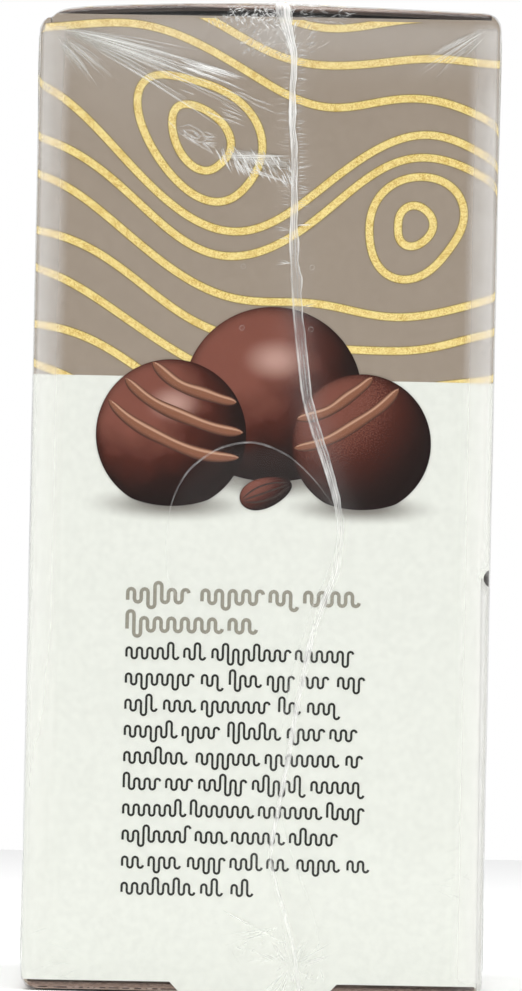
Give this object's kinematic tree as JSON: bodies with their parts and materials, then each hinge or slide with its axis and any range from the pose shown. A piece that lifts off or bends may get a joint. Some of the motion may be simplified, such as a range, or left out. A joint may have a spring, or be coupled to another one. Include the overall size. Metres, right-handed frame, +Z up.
{
  "type": "shrink-wrapped chocolate truffle carton",
  "caption": "Shut upright folding carton with a bowed tuck top and a locking tab at its foot, in a clear shrink film with a winding trim seam.",
  "frame": {"origin": "centre of the flat face that the pack stands on", "axes": "+Z up, along the pack's height; +X across the narrow panels, from the closures' tucked side to their hinged side; the narrow panel that carries the film's trim seam faces -Y"},
  "size_m": [0.058, 0.113, 0.1245],
  "materials": {
    "printed_board": "coated paperboard with a satin print",
    "clear_film": "clear glossy shrink film"
  },
  "bodies": {
    "root": {"carton": "printed_board", "film": "clear_film"}
  },
  "joints": []
}
